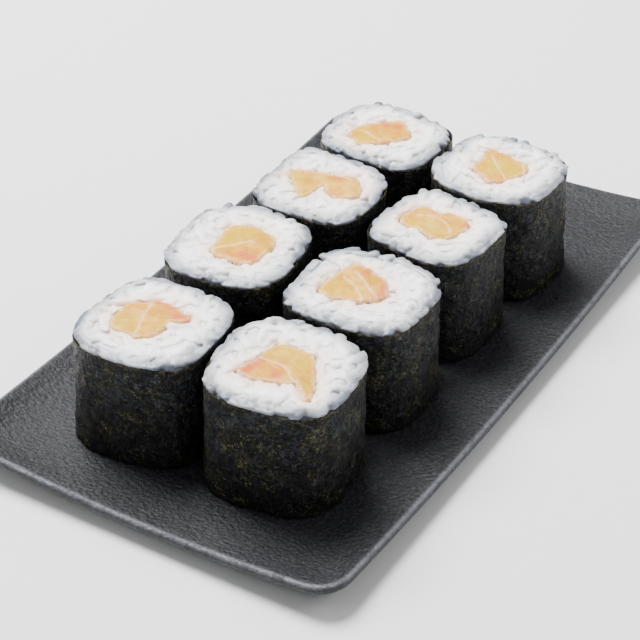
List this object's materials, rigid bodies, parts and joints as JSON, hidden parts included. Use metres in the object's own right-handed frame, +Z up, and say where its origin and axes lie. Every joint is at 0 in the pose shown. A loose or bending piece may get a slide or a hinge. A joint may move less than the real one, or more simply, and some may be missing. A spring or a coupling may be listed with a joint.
{
  "type": "maki sushi rolls on a plate",
  "caption": "Cut maki sushi rolls, rounded-square nori round white rice with a fish centre, standing in two rows on a shallow dark stoneware tray.",
  "frame": {"origin": "middle of the flat foot under the tray", "axes": "+X across the tray, +Y along it, +Z up"},
  "size_m": [0.0904, 0.1554, 0.0303],
  "materials": {
    "stoneware": "matt charcoal stoneware with a pebbled surface and a paler worn rim",
    "nori": null,
    "rice": null,
    "fish": null
  },
  "bodies": {
    "root": {"plate": "stoneware", "nori_left_1": "nori", "rice_left_1": "rice", "fish_left_1": "fish", "nori_left_2": "nori", "rice_left_2": "rice", "fish_left_2": "fish", "nori_left_3": "nori", "rice_left_3": "rice", "fish_left_3": "fish", "nori_left_4": "nori", "rice_left_4": "rice", "fish_left_4": "fish", "nori_right_1": "nori", "rice_right_1": "rice", "fish_right_1": "fish", "nori_right_2": "nori", "rice_right_2": "rice", "fish_right_2": "fish", "nori_right_3": "nori", "rice_right_3": "rice", "fish_right_3": "fish", "nori_right_4": "nori", "rice_right_4": "rice", "fish_right_4": "fish"}
  },
  "joints": []
}
